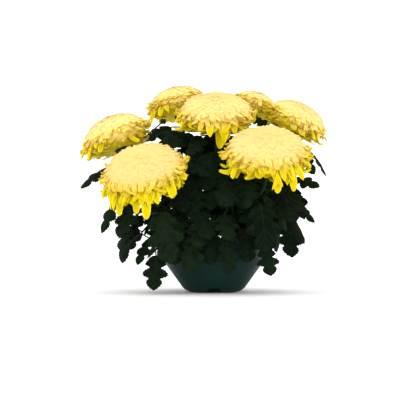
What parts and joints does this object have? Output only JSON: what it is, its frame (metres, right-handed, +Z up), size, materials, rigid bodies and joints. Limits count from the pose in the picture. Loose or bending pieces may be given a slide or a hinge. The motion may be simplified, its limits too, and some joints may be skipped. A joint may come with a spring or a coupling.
{
  "type": "pot chrysanthemum",
  "caption": "Chrysanthemum with large dense yellow heads over dark lobed leaves, in a round plastic bowl pot with drainage notches; a flowering house plant that stands on a flat surface.",
  "frame": {"origin": "middle of the pot's foot, on the plane that it stands on", "axes": "+Z up along the pot's axis; -Y towards the side seen from the front; +X to the right of that view"},
  "size_m": [0.4001, 0.3072, 0.3449],
  "materials": {
    "pot_plastic": "satin",
    "potting_soil": "matte",
    "leaf": "satin",
    "petal": "matte"
  },
  "bodies": {
    "root": {"pot": "pot_plastic", "soil": "potting_soil", "stem_front_left": "leaf", "stem_front_right": "leaf", "stem_centre": "leaf", "stem_left": "leaf", "stem_right": "leaf", "stem_back_left": "leaf", "stem_back_right": "leaf", "bloom_front_left": "petal", "bloom_front_right": "petal", "bloom_centre": "petal", "bloom_left": "petal", "bloom_right": "petal", "bloom_back_left": "petal", "bloom_back_right": "petal"}
  },
  "joints": []
}
